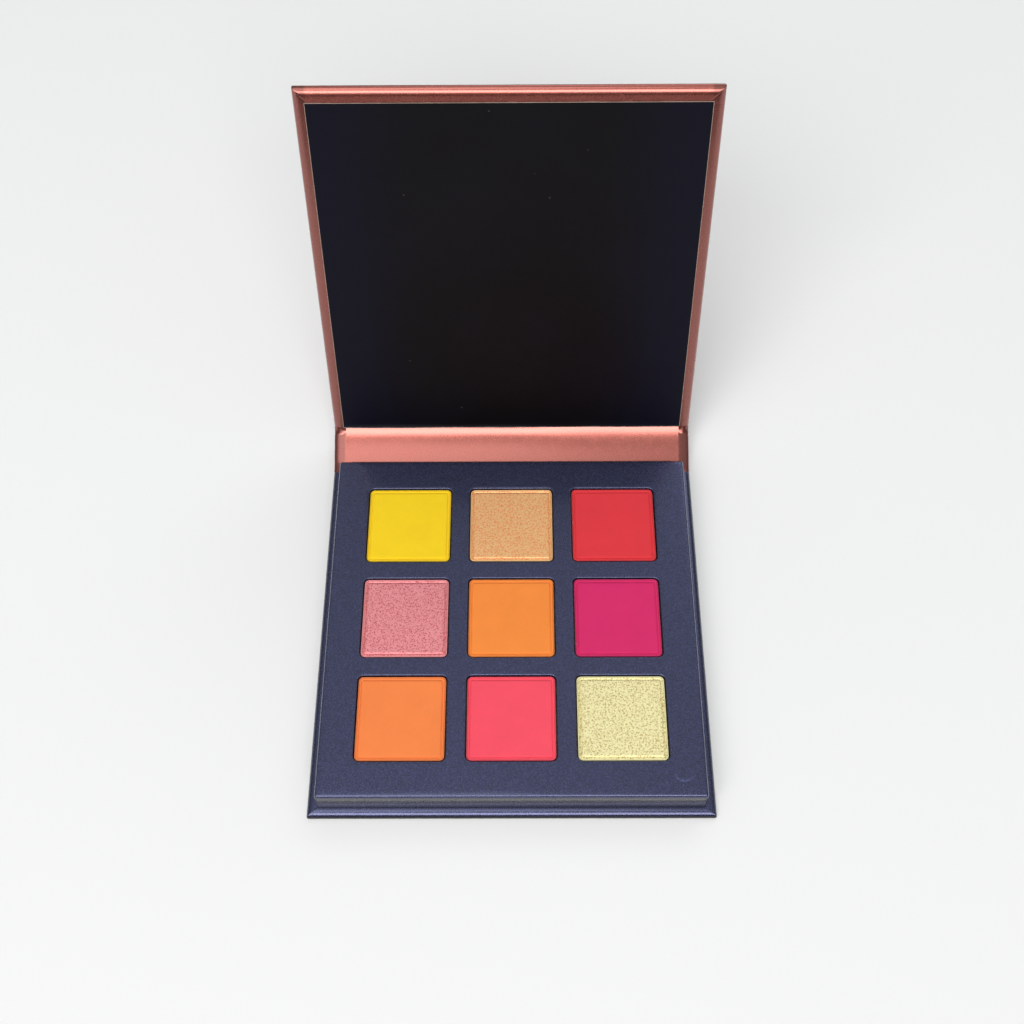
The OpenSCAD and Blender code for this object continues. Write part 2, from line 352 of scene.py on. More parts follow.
# Nickel-plated magnet with fine rubbed scratches.
def makeMagnet():
    p = Paint("magnet", Metallic=1.0)
    scratch = p.noise(0.3 * mm, 3.0, 0.6, p.stretched((1.0, 9.0, 1.0)))
    colour = p.mix(p.ramp(scratch, 0.3, 0.7), (0.52, 0.51, 0.50), (0.68, 0.67, 0.66))
    return p.feed(Base_Color=colour, Roughness=scratch * 0.2 + 0.18, Normal=p.bump(scratch, 0.004 * mm))


# Base colours of the powders, and how each is finished.
powders = {
    "yellow": {"colour": (0.98, 0.665, 0.020), "finish": "matte"},
    "copper": {"colour": (1.0, 0.600, 0.270), "finish": "shimmer", "trough": (0.95, 0.210, 0.055)},
    "red": {"colour": (0.76, 0.047, 0.060), "finish": "matte"},
    "rose": {"colour": (0.92, 0.340, 0.360), "finish": "shimmer", "trough": (0.55, 0.065, 0.085)},
    "orange": {"colour": (0.93, 0.275, 0.055), "finish": "matte"},
    "magenta": {"colour": (0.68, 0.030, 0.145), "finish": "matte"},
    "peach": {"colour": (0.92, 0.245, 0.070), "finish": "matte"},
    "coral": {"colour": (0.93, 0.090, 0.135), "finish": "matte"},
    "gold": {"colour": (0.97, 0.900, 0.500), "finish": "shimmer", "trough": (0.50, 0.330, 0.060)},
}


# Pressed matte powder: chalky, with a fine tooth and a soft uneven tone from pressing.
def makeMattePowder(name, colour):
    p = Paint("powder" + name.title(), Roughness=0.95, Specular_IOR_Level=0.15)
    tooth = p.noise(0.22 * mm, 4.0, 0.7)
    press = p.noise(7 * mm, 3.0, 0.5)
    tone = p.ramp(tooth * 0.6 + press * 0.4, 0.35, 0.65)
    toned = p.mix(tone, shade(colour, 0.96), shade(colour, 1.04))
    return p.feed(Base_Color=toned, Normal=p.bump(tooth, 0.010 * mm))


# Pressed shimmer powder: metallic scales that catch light over darker, redder troughs.
def makeShimmerPowder(name, colour, trough):
    p = Paint("powder" + name.title(), Metallic=0.45, Specular_IOR_Level=0.6)
    scale = p.noise(0.55 * mm, 3.0, 0.65)
    crumb = p.noise(0.28 * mm, 2.0, 0.6)
    cell = p.add("ShaderNodeTexVoronoi", {"feature": "F1"},
                 {"Vector": p.place(), "Scale": 1 / (0.5 * mm)}, output="Distance")
    relief = scale * 0.5 + crumb * 0.3 + cell * 0.25
    toned = p.mix(p.ramp(relief, 0.36, 0.58), trough, colour)
    spark = p.ramp(crumb, 0.62, 0.72)
    toned = p.mix(spark * 0.6, toned, shade(colour, 1.6))
    return p.feed(Base_Color=toned, Roughness=0.50 - spark * 0.22, Normal=p.bump(relief, 0.09 * mm))


# The pan's metal, dusted with the powder it holds. Bare metal shows in a few rubbed flecks.
def makePanMetal(name, colour):
    p = Paint("pan" + name.title())
    height = p.add("ShaderNodeSeparateXYZ", {}, {0: p.place()}, output="Z")
    rimTop = nodeBox("pan_yellow")[1][2]
    dust = p.ramp(height, rimTop - 2.2 * mm, rimTop - 1.0 * mm)
    rubbed = p.ramp(p.noise(1.1 * mm, 3.0, 0.6), 0.68, 0.74) * p.ramp(height, rimTop - 0.12 * mm, rimTop)
    cover = dust * (1 - rubbed)
    colourOver = p.mix(p.noise(0.3 * mm, 3.0, 0.6), shade(colour, 0.72), shade(colour, 1.0))
    toned = p.mix(cover, (0.72, 0.72, 0.73), colourOver)
    return p.feed(Base_Color=toned, Metallic=1 - cover, Roughness=cover * 0.55 + 0.28,
                  Normal=p.bump(p.noise(0.25 * mm, 3.0, 0.6), 0.008 * mm))


print("paints")
paints = {
    # The base's navy paper has painted shade below its rolled edge, and the tray's has painted shade down its
    # wall.
    "navy_paper": makeNavyPaper(paintedShadeBelow=(1.25 * mm, 1.85 * mm)),
    "tray_paper": makeNavyPaper("trayPaper", wallShadeAndDent=True),
    "coral_paper": makeCoralPaper(),
    # This coral paper has painted shade, darker and browner, out at the case's ends.
    "coral_turned": makeCoralPaper("coralTurned", coralPaper["stretchedFrom"]),
    "dark_card": makeDarkCard(),
    "cut_edge": makeCutEdge(),
    # Pale patches for the lid lining's lifted edge: partly worn core, partly painted highlight.
    "worn_edge": makeWornLitEdge(),
    "board": makeBoard(),
    "adhesive": makeGlue(),
    "magnet": makeMagnet(),
}
for name, powder in powders.items():
    if powder["finish"] == "matte":
        paints["powder_" + name] = makeMattePowder(name, powder["colour"])
    else:
        paints["powder_" + name] = makeShimmerPowder(name, powder["colour"], powder["trough"])
    paints["pan_" + name] = makePanMetal(name, powder["colour"])


# A mesh from grids of points. Each grid is (rows, columns, 3), with the options "closed", where
# the last column joins the first, "first" and "last", which cap a row with one flat face.
def gridMesh(name, grids, weld=1e-7):
    points, faces = [], []
    start = 0
    for grid, options in grids:
        rows, columns = grid.shape[:2]
        index = start + np.arange(rows * columns).reshape(rows, columns)
        if options.get("closed"):
            index = np.concatenate([index, index[:, :1]], axis=1)
        quads = np.stack([index[:-1, :-1], index[:-1, 1:], index[1:, 1:], index[1:, :-1]], axis=-1)
        faces += quads.reshape(-1, 4).tolist()
        if options.get("first"):
            faces.append(index[0, :columns][::-1].tolist())
        if options.get("last"):
            faces.append(index[-1, :columns].tolist())
        points.append(grid.reshape(-1, 3))
        start += rows * columns
    mesh = bpy.data.meshes.new(name)
    mesh.from_pydata(np.concatenate(points).tolist(), [], faces)
    work = bmesh.new()
    work.from_mesh(mesh)
    bmesh.ops.remove_doubles(work, verts=work.verts, dist=weld)
    bmesh.ops.dissolve_degenerate(work, edges=work.edges, dist=weld)
    for edge in work.edges:
        edge.smooth = not edge.is_boundary
    work.to_mesh(mesh)
    work.free()
    mesh.polygons.foreach_set("use_smooth", np.ones(len(mesh.polygons), bool))
    piece = bpy.data.objects.new(name, mesh)
    bpy.context.scene.collection.objects.link(piece)
    return piece


# Turns all faces round if the mesh looks inwards. A closed mesh is told by its volume, and an
# open sheet by whether its faces look away from the given point.
def faceOutwards(piece, awayFrom=None):
    work = bmesh.new()
    work.from_mesh(piece.data)
    if awayFrom is None:
        bmesh.ops.recalc_face_normals(work, faces=work.faces)
        inwards = work.calc_volume(signed=True) < 0
    else:
        away = Vector(awayFrom)
        looks = sum(f.calc_area() * f.normal.dot(f.calc_center_median() - away) for f in work.faces)
        inwards = looks < 0
    if inwards:
        bmesh.ops.reverse_faces(work, faces=work.faces)
    work.to_mesh(piece.data)
    work.free()
    return piece


def finishPiece(piece, paint, slotName, body, *nodes):
    piece.data.materials.append(paints[paint])
    if body:
        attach(piece, body)
    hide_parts(*nodes)
    return piece


# Gives an open sheet of paper or card its thickness, inwards from the surface that was drawn.
def thicken(piece, thickness, rim=None):
    solid = piece.modifiers.new("thickness", "SOLIDIFY")
    solid.thickness = thickness
    solid.offset = -1
    solid.use_even_offset = False
    if rim is not None:
        solid.material_offset_rim = rim
    return piece


# Unit steps round a rounded rectangle: the corner centre's signs and the outward direction. Each
# side is walked over its own stops from -1 to 1. The open form leaves out the side by the crease.
def outlineSteps(stopsX, stopsY, cornerSteps, closed=True):
    arc = np.linspace(0, 0.5 * np.pi, cornerSteps + 1)[:-1]
    tx, ty = stopsX[:-1], stopsY[:-1]
    sides = [(np.ones_like(ty), ty, 0), (-tx, np.ones_like(tx), 1),
             (-np.ones_like(ty), -ty, 2), (tx, -np.ones_like(tx), 3)]
    corners = [(1, 1), (-1, 1), (-1, -1), (1, -1)]
    across, along, angle = [], [], []
    for turn, (sx, sy, quarter) in enumerate(sides if closed else sides[:3]):
        across.append(sx)
        along.append(sy)
        angle.append(np.full(len(sx), quarter * 0.5 * np.pi))
        if closed or turn < 2:
            across.append(np.full(cornerSteps, corners[turn][0], float))
            along.append(np.full(cornerSteps, corners[turn][1], float))
            angle.append(quarter * 0.5 * np.pi + arc)
    if not closed:
        across.append([-1.0])
        along.append([-1.0])
        angle.append([np.pi])
    return [np.concatenate(part) for part in (across, along, angle)]


# Stops from -1 to 1 that crowd towards both ends, for detail at the corners.
def crowded(count):
    return np.sin(np.linspace(-0.5, 0.5, count + 1) * np.pi)


# x and y of a rounded rectangle drawn in by inset: the corner centre, plus the radius that is left
# along the outward direction.
def outline(halfX, halfY, corner, inset, steps):
    across, along, angle = steps
    inset = np.asarray(inset, float)[:, None]
    radius = np.maximum(np.asarray(corner) - inset, 0)
    x = across * (halfX - inset - radius) + radius * np.cos(angle)
    y = along * (halfY - inset - radius) + radius * np.sin(angle)
    return x, y


# Inset and drop of a quarter of an ellipse, from its flat end to its steep end.
def quarterRound(across, steps, down=None):
    turn = np.linspace(0, 0.5 * np.pi, steps + 1)
    return across * (1 - np.sin(turn)), (down or across) * (1 - np.cos(turn))


# Where a panel ends at a crease, by height: square at the outer paper, then along the mitre.
def creaseEnd(n):
    mitreLow, mitreHigh, lining = 0.5 * mm, 2.5 * mm, 2.2 * mm
    return np.interp(n, [outerN, -outerN, innerN - paper, innerN], [mitreLow, mitreLow, mitreHigh, lining])


panel = {
    "outerEdge": 0.7 * mm, "outerDrop": 0.6 * mm, "innerEdge": 2.3 * mm, "innerDrop": 1.75 * mm,
    "corner": 0.55 * mm, "margin": 4.5 * mm, "border": 12 * mm, "fold": 0.09 * mm, "skin": 0.17 * mm,
}


# Insets and heights over a panel's two rolled edges, from the outer face to the inner face. The
# paper is drawn tight at the outer face and lies soft at the inner one.
def panelEdge(skin):
    outerInset, outerDrop = quarterRound(panel["outerEdge"], 10, panel["outerDrop"] - skin)
    innerInset, innerDrop = quarterRound(panel["innerEdge"], 14, panel["innerDrop"] - skin)
    inset = np.concatenate([outerInset, innerInset[::-1]])
    return inset, np.concatenate([outerN + skin + outerDrop, innerN - skin - innerDrop[::-1]])


# The skin of a wrapped panel: its outer face, three rolled edges, and the turned-in border.
# Points run round the outline (columns) and from the outer face over the edge to the border's
# inner end (rows). The paper is folded at the corners, where one turn-in laps over the other.
def wrappedPanel(name, place):
    steps = outlineSteps(crowded(90), crowded(90), 8, closed=False)
    inset, edgeN = panelEdge(0.0)
    share = np.linspace(0, 1, 9)[1:]
    outerMargin, innerMargin = [edge + share * (panel["margin"] - edge) for edge in (inset[0], inset[-1])]
    border = panel["border"]
    rowInset = np.concatenate([[border], outerMargin[::-1], inset, innerMargin, [border]])
    rowN = np.concatenate([np.full(9, outerN), edgeN, np.full(9, innerN)])
    x, y = outline(caseHalf, panelDepth / 2, panel["corner"], rowInset, steps)
    # the outline's near side gives way to the crease's end
    rowEnd = creaseEnd(rowN)[:, None]
    far = panelDepth
    nearRow = y.min(axis=1, keepdims=True)
    s = rowEnd + (y - nearRow) / (y.max(axis=1, keepdims=True) - nearRow) * (far - rowInset[:, None] - rowEnd)
    n = np.broadcast_to(rowN[:, None], x.shape).copy()
    # folded corners: the far turn-in lies over the side ones along the diagonal
    fromSide = caseHalf - np.abs(x)
    fromFar = far - s
    diagonal = np.clip((fromSide - fromFar) / (0.5 * mm) + 0.5, 0, 1)
    nearCorner = np.exp(-((fromSide + fromFar) / (5 * mm)) ** 2)
    top = np.clip((n - outerN) / (innerN - outerN), 0, 1) ** 4
    n -= panel["fold"] * (1 - diagonal) * nearCorner * top
    pinch = np.exp(-((fromSide - fromFar) / (0.35 * mm)) ** 2) * nearCorner * top
    n -= 0.8 * panel["fold"] * pinch
    piece = gridMesh(name, [(place(x, s, n), {"first": True})])
    return faceOutwards(piece, place(0.0, far / 2, (outerN + innerN) / 2))


# The board inside a wrapped panel, a closed block with the same soft edges and the mitred end.
def panelBoard(name, place):
    steps = outlineSteps(crowded(40), crowded(40), 6, closed=False)
    rowInset, rowN = panelEdge(paper)
    x, y = outline(caseHalf - paper, panelDepth / 2, panel["corner"], rowInset, steps)
    rowEnd = creaseEnd(rowN)[:, None]
    nearRow = y.min(axis=1, keepdims=True)
    reach = panelDepth - paper - rowInset[:, None] - rowEnd
    s = rowEnd + (y - nearRow) / (y.max(axis=1, keepdims=True) - nearRow) * reach
    n = np.broadcast_to(rowN[:, None], x.shape)
    grid = place(x, s, n)
    piece = gridMesh(name, [(grid, {"closed": True, "first": True, "last": True})])
    return faceOutwards(piece)


# Cuts round pockets into a board and leaves no modifier behind.
def cutPockets(piece, place, centres, radius, low, high):
    for x, s in centres:
        turn = np.linspace(0, 2 * np.pi, 49)[:-1]
        ring = [place(x + radius * np.cos(turn), s + radius * np.sin(turn), n) for n in (low, high)]
        cutter = gridMesh("cutter", [(np.stack(ring), {"closed": True, "first": True, "last": True})])
        faceOutwards(cutter)
        cut = piece.modifiers.new("pocket", "BOOLEAN")
        cut.operation = "DIFFERENCE"
        cut.solver = "EXACT"
        cut.object = cutter
        graph = bpy.context.evaluated_depsgraph_get()
        mesh = bpy.data.meshes.new_from_object(piece.evaluated_get(graph))
        piece.modifiers.clear()
        piece.data = mesh
        bpy.data.objects.remove(cutter)
    return piece


print("base")
baseWrap = wrappedPanel("baseWrap", onBase)
thicken(baseWrap, panel["skin"])
finishPiece(baseWrap, "navy_paper", "navy_paper", "base", "base_wrap")

baseBoard = panelBoard("baseBoard", onBase)
finishPiece(baseBoard, "board", "board", "base", "base_board")


tray = {
    "edge": 0.85 * mm, "edgeDrop": 1.05 * mm, "corner": 0.95 * mm,
    "flatFrom": 2.4 * mm, "footCorner": 0.7 * mm,
    "windowEdge": 0.28 * mm, "windowPlay": 0.38 * mm, "windowCorner": 1.8 * mm, "skin": 0.17 * mm,
    "lean": 0.18 * mm, "tuck": 0.25 * mm, "wallInset": 0.5 * mm, "wallCorner": 0.6 * mm,
    "perCell": 24, "cornerShare": 4,
}

panBoxes = {name: nodeBox("pan_" + name) for name in shades}
pitchX = panBoxes["copper"][0][0] - panBoxes["yellow"][0][0]
pitchY = panBoxes["yellow"][0][1] - panBoxes["rose"][0][1]
trayCentre = (trayLow + trayHigh) / 2
trayHalf = (trayHigh - trayLow) / 2
panHalf = (panBoxes["yellow"][1][0] - panBoxes["yellow"][0][0]) / 2


# A flat sheet with nine windows. Each cell is a ring of points from the window's outline to the
# cell's edge. The window's edge is rolled down and ends as a straight wall. The outermost cells
# reach to flat, the rectangle where the tray's rolled outer edge begins.
def windowCells(top, flat, windowHalf, windowCorner, roll, wallEnd):
    count, share = tray["perCell"], tray["cornerShare"]
    t = np.arange(count)
    turn = np.clip((t - share) / share, -1, 0) + np.clip((t - count + share) / share, 0, 1)
    straight = np.clip((t - share) / (count - 2 * share), 0, 1) * 2 - 1
    cellT = t / count * 2 - 1
    quarter = np.arange(4)[:, None] * 0.5 * np.pi
    cos, sin = np.cos(quarter), np.sin(quarter)
    across = (cos - sin * straight).ravel()
    along = (sin + cos * straight).ravel()
    angle = (quarter + turn * 0.25 * np.pi).ravel()
    cellAcross = (cos - sin * cellT).ravel()
    cellAlong = (sin + cos * cellT).ravel()
    inset, drop = quarterRound(roll, 5)
    outwards = np.concatenate([[0], inset[::-1], [roll + 0.6 * mm]])
    height = np.concatenate([[wallEnd], top - drop[::-1], [top]])
    cuts = [np.array([-flat[axis], -pitch / 2, pitch / 2, flat[axis]])
            for axis, pitch in ((0, pitchX), (1, pitchY))]
    grids = []
    for row in range(3):
        for column in range(3):
            centre = trayCentre[:2] + [(column - 1) * pitchX, (row - 1) * pitchY]
            grow = outwards[:, None]
            x = centre[0] + across * (windowHalf - windowCorner) + (windowCorner + grow) * np.cos(angle)
            y = centre[1] + along * (windowHalf - windowCorner) + (windowCorner + grow) * np.sin(angle)
            lowX, highX = cuts[0][column:column + 2] + trayCentre[0]
            lowY, highY = cuts[1][row:row + 2] + trayCentre[1]
            edgeX = (lowX + highX) / 2 + cellAcross * (highX - lowX) / 2
            edgeY = (lowY + highY) / 2 + cellAlong * (highY - lowY) / 2
            x = np.concatenate([x, edgeX[None]])
            y = np.concatenate([y, edgeY[None]])
            z = np.broadcast_to(np.append(height, top)[:, None], x.shape)
            grids.append((np.stack([x, y, z], axis=-1), {"closed": True}))
    return grids


# The rolled outer edge and, if foot is given, the wall below it, swept round the tray's outline.
# The corners are soft at the top and tighter at the foot. The wall leans out on its way down by
# lean, and is tucked in at its foot by tuck.
def traySkirt(half, top, flatInset, roll, corner, foot=None):
    count = tray["perCell"]
    flat = half[:2] - flatInset
    stops = []
    for axis, pitch in ((0, pitchX), (1, pitchY)):
        cuts = np.array([-flat[axis], -pitch / 2, pitch / 2, flat[axis]]) / flat[axis]
        pieces = [np.linspace(cuts[i], cuts[i + 1], count + 1)[:-1] for i in range(3)]
        stops.append(np.append(np.concatenate(pieces), 1.0))
    steps = outlineSteps(stops[0], stops[1], 10)
    fall = tray["edgeDrop"] - tray["edge"] + roll
    lean = tray["lean"]
    inset, drop = quarterRound(roll, 10, fall)
    inset = np.concatenate([[flatInset], inset + lean])
    height = np.concatenate([[top], top - drop])
    radius = np.full(len(inset), corner)
    if foot is not None:
        down = np.linspace(0, 1, 9)[1:]
        tuck, turned = quarterRound(tray["tuck"], 5)
        inset = np.concatenate([inset, lean * (1 - down), tuck[::-1][1:]])
        end = foot + tray["tuck"]
        height = np.concatenate([height, top - fall + (end - top + fall) * down, foot + turned[::-1][1:]])
        radius = np.concatenate([radius, corner + (tray["footCorner"] - corner) * down,
                                 np.full(len(tuck) - 1, tray["footCorner"])])
    x, y = outline(half[0], half[1], radius[:, None], inset, steps)
    z = np.broadcast_to(height[:, None], x.shape)
    return (np.stack([x + trayCentre[0], y + trayCentre[1], z], axis=-1), {"closed": True})


print("tray")
windowHalf = panHalf + tray["windowPlay"]
wrapFlat = trayHalf[:2] - tray["flatFrom"]
trayWrap = gridMesh("trayWrap", windowCells(trayHigh[2], wrapFlat, windowHalf, tray["windowCorner"],
                                            tray["windowEdge"], cardLow[2] + 0.05 * mm)
                    + [traySkirt(trayHalf, trayHigh[2], tray["flatFrom"], tray["edge"], tray["corner"],
                                 foot=trayLow[2])], weld=1e-6)
faceOutwards(trayWrap, (trayCentre[0], trayCentre[1], trayLow[2] - 0.2))
thicken(trayWrap, tray["skin"])
finishPiece(trayWrap, "tray_paper", "navy_paper", "base", "tray_wrap")

cardHalf = trayHalf - paper
trayCard = gridMesh("trayCard", windowCells(cardHigh[2], wrapFlat, windowHalf + paper,
                                            tray["windowCorner"] + paper, 0.15 * mm, cardHigh[2] - 0.2 * mm)
                    + [traySkirt(cardHalf, cardHigh[2], tray["flatFrom"] - paper, tray["edge"] - paper,
                                 tray["corner"] - paper)], weld=1e-6)
faceOutwards(trayCard, (trayCentre[0], trayCentre[1], trayLow[2] - 0.2))
thicken(trayCard, cardHigh[2] - cardLow[2] - 0.15 * mm)
finishPiece(trayCard, "board", "board", "base", "tray_card")


# A tray wall: a strip of board standing on edge, its upright edges softened.
def trayWall(side):
    low, high = nodeBox("tray_wall_" + side)
    centre, half = (low + high) / 2, (high - low) / 2
    steps = outlineSteps(np.linspace(-1, 1, 5), np.linspace(-1, 1, 5), 6)
    inset = np.array([0.1, 0, 0, 0.1]) * mm + tray["wallInset"]
    height = [low[2], low[2] + 0.1 * mm, high[2] - 0.1 * mm, high[2]]
    corner = tray["wallInset"] + tray["wallCorner"]
    x, y = outline(half[0], half[1], corner, inset, steps)
    z = np.broadcast_to(np.array(height)[:, None], x.shape)
    grid = np.stack([x + centre[0], y + centre[1], z], axis=-1)
    piece = gridMesh("trayWall" + side.title(), [(grid, {"closed": True, "first": True, "last": True})])
    finishPiece(faceOutwards(piece), "board", "board", "base", "tray_wall_" + side)


for side in ("front", "back", "left", "right"):
    trayWall(side)


pan = {
    "corner": 1.35 * mm, "wall": 0.30 * mm, "floor": 0.4 * mm, "floorBend": 0.2 * mm,
    "powderDrop": 0.16 * mm, "grooveAt": 0.80 * mm, "grooveWide": 0.20 * mm, "grooveDeep": 0.15 * mm,
    "bank": 0.26 * mm, "dish": 0.03 * mm,
}
panSteps = outlineSteps(np.linspace(-1, 1, 21), np.linspace(-1, 1, 21), 8)


# A stamped square pan: outer wall, a thin rolled rim, inner wall and floor, as rows of insets.
def makePan(name):
    low, high = panBoxes[name]
    centre, half = (low + high) / 2, (high[0] - low[0]) / 2
    roll = np.linspace(0, np.pi, 9)
    rim = pan["wall"] / 2
    bend, floor = pan["floorBend"], low[2] + pan["floor"]
    inset = np.concatenate([[0.5 * mm, 0.15 * mm, 0, 0], rim - rim * np.cos(roll),
                            [pan["wall"], pan["wall"] + bend]])
    height = np.concatenate([[low[2], low[2], low[2] + 0.15 * mm, high[2] - rim],
                             high[2] - rim + rim * np.sin(roll), [floor + bend, floor]])
    x, y = outline(half, half, pan["corner"], inset, panSteps)
    z = np.broadcast_to(height[:, None], x.shape)
    grid = np.stack([x + centre[0], y + centre[1], z], axis=-1)
    piece = gridMesh("pan" + name.title(), [(grid, {"closed": True, "first": True, "last": True})])
    finishPiece(faceOutwards(piece), "pan_" + name, "pan_metal", "base", "pan_" + name)


# The pressed powder: a bank that falls from the rim, the groove left by the press, and a flat
# cake, very slightly dished. Rows shrink square to the centre.
def makePowder(name):
    low, high = nodeBox("powder_" + name)
    centre, half = (low + high) / 2, (high[0] - low[0]) / 2
    rimTop = panBoxes[name][1][2]
    cake = rimTop - pan["powderDrop"]
    edge = pan["grooveAt"] - pan["wall"]
    wide, deep = pan["grooveWide"], pan["grooveDeep"]
    grooveTurn = np.linspace(0, np.pi, 9)
    grooveInset = edge + wide * np.linspace(0, 1, 9)
    bankEnd = rimTop - pan["bank"]
    blend = np.linspace(0, 1, 9)
    grooveHeight = bankEnd + (cake - bankEnd) * blend - deep * np.sin(grooveTurn)
    cakeInset = np.linspace(0, 1, 12)[1:] ** 1.3 * (half - edge - wide) + edge + wide
    across = (cakeInset - edge - wide) / (half - edge - wide)
    inset = np.concatenate([[0.3 * mm, 0.02 * mm, 0.0, 0.1 * mm, 0.3 * mm], grooveInset, cakeInset])
    height = np.concatenate([[low[2], low[2], rimTop - 0.10 * mm, rimTop - 0.06 * mm, rimTop - 0.12 * mm],
                             grooveHeight, cake - pan["dish"] * across])
    x, y = outline(half, half, pan["corner"] - pan["wall"], inset, panSteps)
    z = np.broadcast_to(height[:, None], x.shape)
    grid = np.stack([x + centre[0], y + centre[1], z], axis=-1)
    piece = gridMesh("powder" + name.title(), [(grid, {"closed": True, "first": True})])
    slotName = "powder_" + name
    finishPiece(faceOutwards(piece), slotName, slotName, "base", slotName)


print("pans")
for name in shades:
    makePan(name)
    makePowder(name)


spine = {
    "edge": 3.8 * mm, "edgeDrop": 1.1 * mm, "turnIn": 6.0 * mm, "skin": 0.17 * mm, "step": 0.10 * mm,
    "pleat": 0.42 * mm, "pleatWide": 1.1 * mm, "pleatAt": 1.7 * mm,
    "liningLeft": 54.5 * mm, "liningRight": 55.0 * mm, "liningLift": 0.03 * mm, "liningThick": 0.10 * mm,
    "tab": 8 * mm, "seam": 0.14 * mm, "bridgeTo": 2.4 * mm, "bridgePower": 4.2,
}
lowerCrease = {
    "place": placeOn(lowerAxis, 0.0), "shift": 0.0, "turn": spineAngle, "after": onSpine,
    "bodies": ("base", "spine"),
}
upperCrease = {
    "place": onSpine, "shift": spineLength, "turn": lidTurn, "after": onLid, "bodies": ("spine", "lid"),
}


# x and n across the spine's paper: the turn-in at one end, round the soft edge, over the outer
# face, and the same again at the other end.
def endProfile(low, high):
    inset, drop = quarterRound(spine["edge"], 8, spine["edgeDrop"])
    strip = np.linspace(spine["turnIn"], spine["edge"], 8)[:-1]
    x = caseHalf - np.concatenate([strip, inset, inset[::-1]])
    n = np.concatenate([np.full(len(strip), high), high - drop, low + drop[::-1]])
    face = np.linspace(1, -1, 61)[1:-1] * (caseHalf - spine["edge"])
    return np.concatenate([x, face, -x[::-1]]), np.concatenate([n, np.full(len(face), low), n[::-1]])


# The outer paper of the spine panel, between the two creases.
def makeSpineWrap():
    x, n = endProfile(outerN, innerN - spine["step"])
    start = creaseEnd(n)
    t = np.linspace(0, 1, 9)[:, None]
    piece = gridMesh("spineWrap", [(onSpine(x, start + (spineLength - 2 * start) * t, n), {})])
    faceOutwards(piece, onSpine(0.0, spineLength / 2, (outerN + innerN) / 2))
    thicken(piece, spine["skin"])
    finishPiece(piece, "coral_turned", "coral_paper", "spine", "spine_wrap")


# The board in the spine panel: its mitred outline carried across, with soft ends.
def makeSpineBoard():
    low, high = outerN + paper, innerN - paper - spine["step"]
    half = caseHalf - paper
    x = np.concatenate([[-half], np.linspace(-half + spine["edge"], half - spine["edge"], 5), [half]])
    n = np.array([low, low, high, high])
    ends = creaseEnd(n)
    s = np.array([ends[0], spineLength - ends[1], spineLength - ends[2], ends[3]])
    middle = (low + high) / 2
    squeeze = np.ones(len(x))
    squeeze[[0, -1]] = 0.25
    grid = onSpine(x[:, None], np.broadcast_to(s, (len(x), 4)), middle + (n - middle) * squeeze[:, None])
    piece = gridMesh("spineBoard", [(grid, {"closed": True, "first": True, "last": True})])
    finishPiece(faceOutwards(piece), "board", "board", "spine", "spine_board")


# Paper bent round a crease. Each height n has its own arc, tangent to both panels where they end:
# its centre is the panel's end over the tangent of half the turn, above the crease's axis.
def creasePoints(crease, x, n, flat, steps, lift=0):
    beta = np.linspace(0, 1, steps)[:, None] * crease["turn"]
    half = crease["turn"] / 2
    centre = flat / math.tan(half)
    bow = lift * np.sin(0.5 * np.pi * beta / half)
    s = -flat + (centre - n) * np.sin(beta) - bow * math.sin(half)
    height = centre - (centre - n) * np.cos(beta) + bow * math.cos(half)
    return crease["place"](np.broadcast_to(x, s.shape), s + crease["shift"], height)


# Bakes the piece's placement into its mesh. The ends of the two panels' linings are worked out but not used.
def blendOver(piece, crease):
    reach = float(creaseEnd(innerN))
    start = crease["place"](0.0, crease["shift"] - reach, innerN)
    end = crease["after"](0.0, reach, innerN)
    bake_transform(piece)


# The outer paper of a crease with its turned-in ends, where the spare paper stands up in a pleat.
def makeCreaseWrap(name, node, crease, pleat):
    x, n = endProfile(outerN, innerN - spine["step"])
    inner = np.clip((n - outerN) / (innerN - outerN), 0, 1) ** 3
    ridge = pleat * inner * np.exp(-((caseHalf - np.abs(x) - spine["pleatAt"]) / spine["pleatWide"]) ** 2)
    piece = gridMesh(name, [(creasePoints(crease, x, n, creaseEnd(n), 17, ridge), {})])
    faceOutwards(piece, crease["place"](0.0, crease["shift"], (outerN + innerN) / 2))
    thicken(piece, spine["skin"])
    finishPiece(piece, "coral_turned", "coral_paper", None, node)
    blendOver(piece, crease)


# The lining strip is cut a little off centre.
def liningAcross():
    return np.linspace(-spine["liningLeft"], spine["liningRight"], 97)


# One sheet over the spine panel and in under the lid's dark card. It bridges the hollow of the
# upper crease: its height grows as a power of the way along, and the power wanders across the sheet.
def makeSpineLining():
    x = liningAcross()
    flat = float(creaseEnd(innerN)) + spine["seam"]
    top = innerN + spine["liningLift"]
    meet = spine["bridgeTo"]
    endS = spineLength + meet * math.cos(lidTurn) - top * math.sin(lidTurn)
    endN = meet * math.sin(lidTurn) + top * math.cos(lidTurn)
    power = spine["bridgePower"] + 0.8 * np.cos(x / (19 * mm) + 0.8) + 0.35 * np.cos(x / (7.3 * mm))
    u = np.linspace(0, 1, 49)[:, None]
    sheet = onSpine(x, flat + (endS - flat) * u + 0 * x, top + (endN - top) * u ** power)
    under = onLid(x, meet + np.linspace(0, 1, 5)[1:, None] * 2.4 * mm + 0 * x, top)
    piece = gridMesh("spineLining", [(np.concatenate([sheet, under]), {})])
    faceOutwards(piece, onSpine(0.0, spineLength / 2, outerN))
    thicken(piece, spine["liningThick"])
    finishPiece(piece, "coral_paper", "coral_paper", None, "spine_liner", "upper_crease_liner")
    blendOver(piece, upperCrease)


